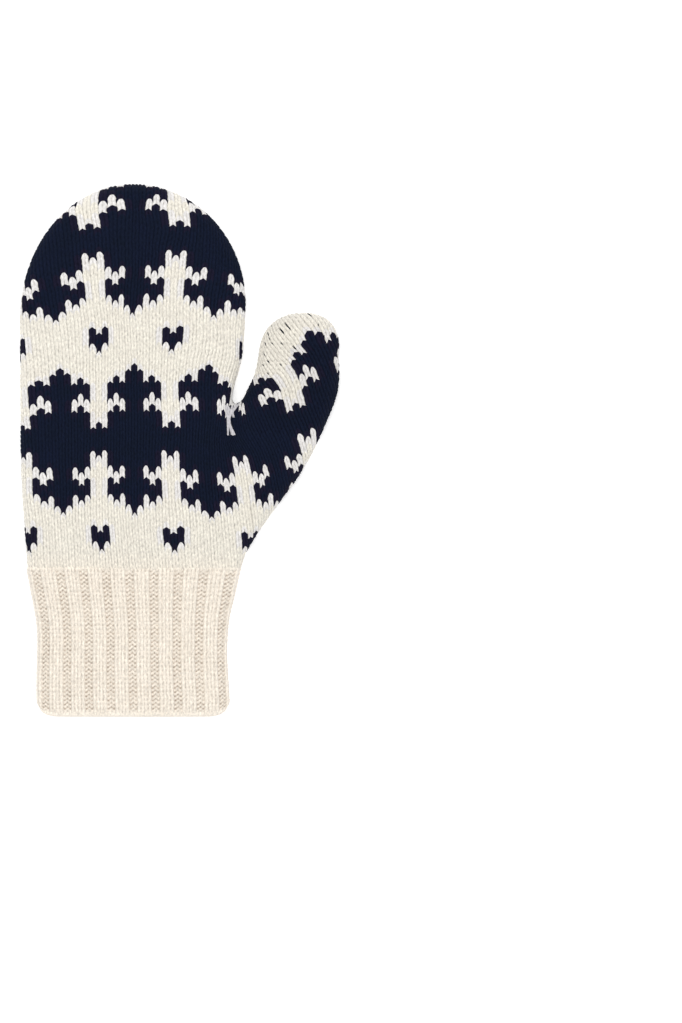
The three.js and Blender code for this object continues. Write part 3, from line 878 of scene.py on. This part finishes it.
def lay_cloth(marks, height, side, lobe):
    """Lays points of the cloth over the mitten: the back for side 1 and the palm for side -1.

    height is how far a point stands off the cloth. Returns places, and which are beyond the fold."""
    at_thumb = marks[:, 0] > CUT_WALE + (0.001 if lobe == "hand" else -0.001)
    flat, inside, out, beyond = fold_cloth(marks, at_thumb)
    x, y = flat.T
    radius = FOLD_RADIUS if side > 0 else FOLD_HEIGHT - UNDERSIDE
    turn = fold_turn(inside, radius)
    slope = np.clip(radius - inside, 0, radius) / np.maximum(turn, 0.02)
    if side > 0:
        crown, reach = swell(x, y, at_thumb)
        near = np.clip(1 - inside / reach, 0, 1)
        z = FOLD_HEIGHT + turn + crown * (1 - near * near) + uneven(x, y) * smooth(inside, 0, 14)
        slope = slope + 2 * crown * near / reach
    else:
        z = FOLD_HEIGHT - turn
    length = np.sqrt(1 + slope * slope)
    height = height * (0.35 + 0.65 * smooth(np.hypot(*(flat - CROTCH).T), 3, 18))
    places = np.column_stack([
        x + out[:, 0] * slope / length * height,
        y + out[:, 1] * slope / length * height,
        z + side * height / length])
    places[:, 2] = np.maximum(places[:, 2], CLOTH_FLOOR_GAP)
    return places, beyond


def knit_grid(grid, columns, steps):
    """A flat mesh of stitches, and its points as wale, row, and share across and up the stitch."""
    across = grid["wales"] * len(columns)
    up = grid["rows"] * len(steps)
    bm = bmesh.new()
    bmesh.ops.create_grid(bm, x_segments=across, y_segments=up, size=0.5)
    mesh = bpy.data.meshes.new("knitting")
    bm.to_mesh(mesh)
    bm.free()
    points = np.empty(len(mesh.vertices) * 3)
    mesh.vertices.foreach_get("co", points)
    points = points.reshape(-1, 3)
    i = np.rint((points[:, 0] + 0.5) * across).astype(int)
    j = np.rint((points[:, 1] + 0.5) * up).astype(int)
    u = np.array(columns)[i % len(columns)]
    v = np.array(steps)[j % len(steps)]
    return mesh, i // len(columns) + grid["first_wale"], j // len(steps) + grid["first_row"], u, v


def corner_points(mesh):
    """The point at each corner of each face."""
    points = np.empty(len(mesh.loops), int)
    mesh.loops.foreach_get("vertex_index", points)
    return points


def face_centres(mesh, values):
    """The mean of a value of the points over each four-sided face."""
    return values[corner_points(mesh)].reshape(-1, 4).mean(axis=1)


def keep_on_points(mesh, name, values):
    """Keeps a value for each point on the mesh, for the wool to read."""
    mesh.attributes.new(name, "FLOAT", "POINT").data.foreach_set("value", values)


def is_prong(wale, row):
    """Whether a stitch is the single navy one in which a motif ends at its foot."""
    single = is_navy(wale, row) & ~is_navy(wale - 1, row) & ~is_navy(wale + 1, row)
    return single & np.isin(row % BAND_REPEAT, PRONG_ROWS)


def blunt_feet(wale, row, q, pointed):
    """How far the feet of a stitch end below the pointed head of the stitch under it, in rows.

    Cream feet stop short over navy, and a prong hangs down over the cream on two splayed legs."""
    over_navy = ~is_navy(wale, row) & is_navy(wale, row - 1)
    notch = smooth(q, 0, 0.9)
    short = pointed - (HEAD_RISE - FOOT_NOTCH * notch)
    hanging = pointed - (HEAD_RISE - PRONG_HANG - PRONG_NOTCH * notch)
    return np.where(over_navy, short, np.where(is_prong(wale, row), hanging, 0))


def stitch_mark(wale, row, u, v):
    """The place of a point of a stitch in the cloth, as wale and row: each head is a pointed arch.

    Feet over the other colour end bluntly. Navy stitches bulge sideways over cream ones, but a prong
    is drawn in at its waist, and nothing bulges over the cut between hand and thumb."""
    q = np.abs(2 * u - 1)
    pointed = HEAD_RISE - HEAD_POINT * q ** HEAD_CURVE
    foot = blunt_feet(wale, row, q, pointed)
    foot = np.where((u == 0) & (foot == 0), blunt_feet(wale - 1, row, q, pointed), foot)
    head = blunt_feet(wale, row + 1, q, pointed)
    head = np.where((u == 0) & (head == 0), blunt_feet(wale - 1, row + 1, q, pointed), head)
    lowered = foot * (1 - v) + head * v

    dark = is_navy(wale, row).astype(float)
    prong = is_prong(wale, row)
    left_bulge = np.where(prong | is_prong(wale - 1, row), -PRONG_WAIST, 1)
    right_bulge = np.where(prong | is_prong(wale + 1, row), -PRONG_WAIST, 1)
    from_left = left_bulge * (is_navy(wale - 1, row) - dark) * np.clip(1 - 2 * u, 0, 1)
    from_right = right_bulge * (dark - is_navy(wale + 1, row)) * np.clip(2 * u - 1, 0, 1)
    waist = np.interp(v, (0, 0.2, 0.55, 0.86, 1), (0.3, 0.8, 1.0, 0.8, 0.3))
    across = wale - 0.5 + u
    from_cut = np.minimum(np.abs(across - CUT_WALE), 1)
    sideways = NAVY_BULGE * (from_left + from_right) * waist * from_cut
    return np.column_stack([across + sideways, row - 1 + pointed + v - lowered])


def beside_other_colour(wale, row, u):
    """How far the other colour's fibres mix in: only in stitches that touch one of that colour."""
    own = is_navy(wale, row)
    touching = np.zeros(len(wale), bool)
    for across, up in ((-1, 0), (1, 0), (0, -1), (0, 1)):
        touching |= is_navy(wale + across, row + up) != own
    return np.where(u == 0, 0.3, 0.6) * touching


def loosen(marks):
    """Small shifts of each stitch from its even place, the same for the back and the palm."""
    rng = np.random.default_rng(LOOSE_SEED)
    shifts = rng.normal(size=(2, LOOSE_WALES, LOOSE_ROWS)) * LOOSENESS
    i = np.clip(marks[:, 0] - LOOSE_FIRST_WALE, 0, LOOSE_WALES - 2)
    j = np.clip(marks[:, 1] - LOOSE_FIRST_ROW, 0, LOOSE_ROWS - 2)
    a = i.astype(int)
    b = j.astype(int)
    s = smooth(i - a, 0, 1)
    t = smooth(j - b, 0, 1)
    low = shifts[:, a, b] * (1 - s) + shifts[:, a + 1, b] * s
    high = shifts[:, a, b + 1] * (1 - s) + shifts[:, a + 1, b + 1] * s
    return (low * (1 - t) + high * t).T


def painted_knit_shading(lobe, wale, row, u, v):
    """Brightness of the stitches with their painted shade. Their dots differ in depth, and are deeper
    on the thumb, which is painted darker all over.
    """
    grid = CLOTH_GRIDS[lobe]
    chance = np.random.default_rng(DOT_SEED).random((grid["rows"] + 2, grid["wales"] + 2))
    each = chance[row - grid["first_row"], wale - grid["first_wale"]]
    if lobe == "hand":
        return painted_stitch_shading(u, v, 0.2 + 0.6 * each * each)
    return painted_stitch_shading(u, v, 0.4 + 0.5 * each) - THUMB_SHADE


def make_cloth(name, lobe, side, wools, lining=False, strays=None):
    """One face of the hand or thumb, stitch by stitch, or the smooth inside of it as its lining.

    strays, where given, says which faces show a stray strand of navy."""
    columns, steps = (LINING_COLUMNS, LINING_STEPS) if lining else (STITCH_COLUMNS, STITCH_STEPS)
    mesh, wale, row, u, v = knit_grid(CLOTH_GRIDS[lobe], columns, steps)
    marks = stitch_mark(wale, row, u, v)
    marks = marks + loosen(marks) * np.minimum(np.abs(marks[:, :1] - CUT_WALE), 1)
    if lining:
        height = np.where((u > 0.25) ^ (v > 0.25), LINING_RELIEF, -LINING_RELIEF) - WALL
        painted_shading = np.ones(len(u))
    else:
        height = STITCH_DEPTH * leg_relief(u, v) + STITCH_BASE
        over_cuff = 1 - smooth(marks[:, 1], WRIST_ROW - 0.6, WRIST_ROW + 0.5)
        height -= WRIST_SINK * over_cuff * (lobe == "hand")
        painted_shading = painted_knit_shading(lobe, wale, row, u, v)
    places, beyond = lay_cloth(marks, height, side, lobe)
    mesh.vertices.foreach_set("co", (places * MM).ravel())
    # The painted crease shade of each point, for the wool to read as relief.
    keep_on_points(mesh, "relief", painted_shading)
    keep_on_points(mesh, "beside_other_colour", beside_other_colour(wale, row, u))
    keep_on_points(mesh, "near_cuff", 1 - smooth(row + v, WRIST_ROW, WRIST_ROW + NEAR_CUFF_ROWS))
    stitches = np.column_stack([wale + u, row + v])[corner_points(mesh)]
    mesh.uv_layers.new(name="stitches").data.foreach_set("uv", stitches.ravel())

    across = face_centres(mesh, wale + u)
    up = face_centres(mesh, row + v)
    face_wale = np.floor(across).astype(int)
    face_row = np.floor(up).astype(int)
    dark = is_navy(face_wale, face_row)
    if strays:
        dark |= strays(across - face_wale, face_wale, up - face_row, face_row)
    mesh.polygons.foreach_set("material_index", dark.astype(np.int32))
    for material in wools:
        mesh.materials.append(material)

    folded_away = face_centres(mesh, beyond.astype(float)) > 0.99
    middle = cloth_place(np.column_stack([face_wale.astype(float), face_row - 0.3]))
    of_thumb = (face_wale > CUT_WALE) & (middle[:, 1] > THUMB_BASE_Y)
    dropped = folded_away | (of_thumb if lobe == "hand" else ~of_thumb)
    bm = bmesh.new()
    bm.from_mesh(mesh)
    bm.faces.ensure_lookup_table()
    bmesh.ops.delete(bm, geom=[bm.faces[i] for i in np.where(dropped)[0]], context="FACES")
    bmesh.ops.remove_doubles(bm, verts=bm.verts, dist=CLOTH_MERGE)
    if (side < 0) != lining:
        bmesh.ops.reverse_faces(bm, faces=bm.faces)
    for face in bm.faces:
        face.smooth = True
    bm.to_mesh(mesh)
    bm.free()
    mesh.name = name
    return put_in_scene(name, mesh)


def join_pieces(name, pieces):
    """Joins pieces of one cloth into a single mesh, closed along the folds that they share."""
    bm = bmesh.new()
    for piece in pieces:
        bm.from_mesh(piece.data)
    bmesh.ops.remove_doubles(bm, verts=bm.verts, dist=CLOTH_MERGE)
    mesh = pieces[0].data
    bm.to_mesh(mesh)
    bm.free()
    for piece in pieces[1:]:
        bpy.data.objects.remove(piece)
    pieces[0].name = name
    return pieces[0]


cream_wool = wool(
    "cream_wool",
    pale=(0.89, 0.85, 0.75),
    deep=(0.84, 0.79, 0.70),
    crease_shade=(0.42, 0.38, 0.33),
    chill=(0.81, 0.80, 0.84))
navy_wool = wool(
    "navy_wool",
    pale=(0.0065, 0.0105, 0.028),
    deep=(0.0055, 0.0095, 0.020),
    crease_shade=(0.003, 0.004, 0.010),
    chill=(0.014, 0.010, 0.026))
navy_shader = navy_wool.node_tree.nodes["Principled BSDF"]
navy_shader.inputs["Sheen Weight"].default_value = 0.02
navy_shader.inputs["Specular IOR Level"].default_value = 0.04
both_wools = [cream_wool, navy_wool]
hand_back = make_cloth("hand_back", "hand", 1, both_wools)
hand_palm = make_cloth("hand_palm", "hand", -1, both_wools)
hand_inside = join_pieces("hand_inside", [
    make_cloth("hand_back_inside", "hand", 1, both_wools, lining=True),
    make_cloth("hand_palm_inside", "hand", -1, both_wools, lining=True)])
for piece in (hand_back, hand_palm, hand_inside):
    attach(piece, "root")
    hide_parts("hand")

# Thumb
# A short closed tube in the same stitch and pattern, knitted on from the stitches at the top of the
# gusset, so that its wales lean away from the palm. Strands carried behind it peep out between them.
STRAY_SEED = 8
STRAY_CHANCE = 0.12
FIRST_STRAY_ROW = 10
LAST_STRAY_GAP = 44

# Longer stretches of the strands that show on the thumb: the wale to the right of each, and its rows
STRAY_STRANDS = [
    {"gap": 41, "low": 16.4, "high": 17.9},
    {"gap": 40, "low": 16.5, "high": 17.4},
    {"gap": 40, "low": 13.0, "high": 13.9},
    {"gap": 44, "low": 16.9, "high": 17.9},
    {"gap": 44, "low": 14.4, "high": 14.9},
    {"gap": 37, "low": 16.9, "high": 17.5},
    {"gap": 38, "low": 18.0, "high": 18.9},
    {"gap": 36, "low": 15.4, "high": 16.2},
    {"gap": 36, "low": 14.0, "high": 14.5},
]


def stray_strands(u, wale, v, row):
    """Where the navy strands carried behind the thumb peep out between its cream wales."""
    chance = np.random.default_rng(STRAY_SEED).random((60, 60))
    at_side = (u < 0.11) | (u > 0.89)
    gap = wale + (u > 0.5)
    short = (chance[row + 10, gap] < STRAY_CHANCE) & (v > 0.2) & (v < 0.6)
    short &= (row >= FIRST_STRAY_ROW) & (gap <= LAST_STRAY_GAP)
    long = np.zeros(len(u), bool)
    for strand in STRAY_STRANDS:
        long |= (gap == strand["gap"]) & (row + v > strand["low"]) & (row + v < strand["high"])
    return at_side & (long | short)


thumb = join_pieces("thumb_knit", [
    make_cloth("thumb_back", "thumb", 1, both_wools, strays=stray_strands),
    make_cloth("thumb_palm", "thumb", -1, both_wools, strays=stray_strands)])
thumb_inside = join_pieces("thumb_inside", [
    make_cloth("thumb_back_inside", "thumb", 1, both_wools, lining=True),
    make_cloth("thumb_palm_inside", "thumb", -1, both_wools, lining=True)])
for piece in (thumb, thumb_inside):
    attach(piece, "root")
    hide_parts("thumb")

# Crotch
# Bare strands of cream wool that close the hole between the palm and the thumb. They are sewn through
# its edge, drawn together at the waist and let in below it, and so they lie on the knitting.
STRAND_RADIUS = 0.5
STRAND_LIFT = 0.1
STRAND_ROUNDNESS = 3
ABOVE_ALL = 0.1
CROTCH_STRANDS = [
    {"top": (21.8, 21.0), "middle": (22.5, 17.5), "waist": (22.8, 13.7), "foot": (22.9, 6.9)},
    {"top": (23.3, 20.1), "middle": (23.1, 17.5), "waist": (23.2, 13.7), "foot": (25.4, 6.9)},
    {"top": (24.9, 20.6), "middle": (24.1, 18.0), "waist": (23.5, 14.0), "foot": (24.8, 7.1)},
    {"top": (26.6, 21.3), "middle": (25.1, 18.4), "waist": (23.6, 14.2), "foot": (26.0, 7.0)},
    {"top": (28.0, 21.6), "middle": (26.3, 19.6), "waist": (25.3, 17.4), "foot": (25.5, 15.4)},
    {"top": (22.6, 20.7), "middle": (23.6, 18.9), "waist": (24.6, 18.4), "foot": (27.2, 20.9)},
]
# The strands are cream wool, painted grey for the shade that falls on them in the hollow of the
# crotch.
seam_wool_painted_shade = wool(
    "seam_wool_painted_shade",
    pale=(0.60, 0.58, 0.60),
    deep=(0.52, 0.50, 0.53),
    crease_shade=(0.30, 0.28, 0.30),
    chill=(0.60, 0.58, 0.60))


def lay_strands(name, strands, cloths):
    """Round strands that run through the points of each row of a table, lying on pieces of cloth."""
    curve = bpy.data.curves.new(name, "CURVE")
    curve.dimensions = "3D"
    curve.bevel_depth = STRAND_RADIUS * MM
    curve.bevel_resolution = STRAND_ROUNDNESS
    curve.use_fill_caps = True
    for strand in strands:
        spline = curve.splines.new("BEZIER")
        spline.bezier_points.add(len(strand) - 1)
        for point, (x, y) in zip(spline.bezier_points, strand.values()):
            casts = [cloth.ray_cast((x * MM, y * MM, ABOVE_ALL), (0, 0, -1)) for cloth in cloths]
            top = max(place.z for hit, place, _, _ in casts if hit)
            point.co = (x * MM, y * MM, top + STRAND_LIFT * MM)
            point.handle_left_type = "AUTO"
            point.handle_right_type = "AUTO"
    loose = put_in_scene(name, curve)
    mesh = bpy.data.meshes.new_from_object(loose)
    bpy.data.objects.remove(loose)
    mesh.name = name
    mesh.uv_layers.new(name="stitches")
    keep_on_points(mesh, "relief", np.ones(len(mesh.vertices)))
    mesh.materials.append(seam_wool_painted_shade)
    return put_in_scene(name, mesh)


crotch_strands = lay_strands("crotch_strands", CROTCH_STRANDS, [hand_back, thumb])
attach(crotch_strands, "root")

# Floor, light and camera
# The mitten lies on a plain white sheet that also glows, painted light that pales its shadow, under
# soft studio light, and is seen from straight above.
SHEET_SIZE = 6
SHEET_WHITE = 0.92
SHEET_GLOW = 0.35
STUDIO_GLOW = 0.68
VIEW_CENTRE = (75.9, -28.8)
VIEW_LENGTH = 480.8
CAMERA_HEIGHT = 6000.0
SENSOR_HEIGHT = 36

bpy.ops.mesh.primitive_plane_add(size=SHEET_SIZE)
floor = bpy.context.object
floor.name = "white_sheet"
paper = bpy.data.materials.new("white_paper")
paper.use_nodes = True
sheet_shader = paper.node_tree.nodes["Principled BSDF"]
sheet_shader.inputs["Base Color"].default_value = (SHEET_WHITE, SHEET_WHITE, SHEET_WHITE, 1)
sheet_shader.inputs["Roughness"].default_value = 0.95
# The glow is painted light: it pales the shadow that the mitten casts on the sheet.
sheet_shader.inputs["Emission Color"].default_value = (1, 1, 1, 1)
sheet_shader.inputs["Emission Strength"].default_value = SHEET_GLOW
floor.data.materials.append(paper)

world = bpy.data.worlds.new("studio")
world.use_nodes = True
world.node_tree.nodes["Background"].inputs["Color"].default_value = (1, 1, 1, 1)
world.node_tree.nodes["Background"].inputs["Strength"].default_value = STUDIO_GLOW
bpy.context.scene.world = world
bpy.context.scene.view_settings.view_transform = "Standard"


def soft_box(name, place, size, power):
    """A round soft lamp that shines on the mitten."""
    light = bpy.data.lights.new(name, "AREA")
    light.shape = "DISK"
    light.size = size
    light.energy = power
    lamp = put_in_scene(name, light)
    lamp.location = place
    lamp.rotation_euler = lamp.location.to_track_quat("Z", "Y").to_euler()


soft_box("key_light", place=(-0.3, 0.7, 1.6), size=1.6, power=15.3)
soft_box("fill_light", place=(0.8, -0.5, 1.6), size=1.6, power=5)

lens = bpy.data.cameras.new("camera")
lens.sensor_fit = "VERTICAL"
lens.sensor_height = SENSOR_HEIGHT
lens.lens = SENSOR_HEIGHT * CAMERA_HEIGHT / VIEW_LENGTH
lens.clip_end = 50
camera = put_in_scene("camera", lens)
camera.location = (VIEW_CENTRE[0] * MM, VIEW_CENTRE[1] * MM, CAMERA_HEIGHT * MM)
bpy.context.scene.camera = camera

bpy.context.view_layer.update()
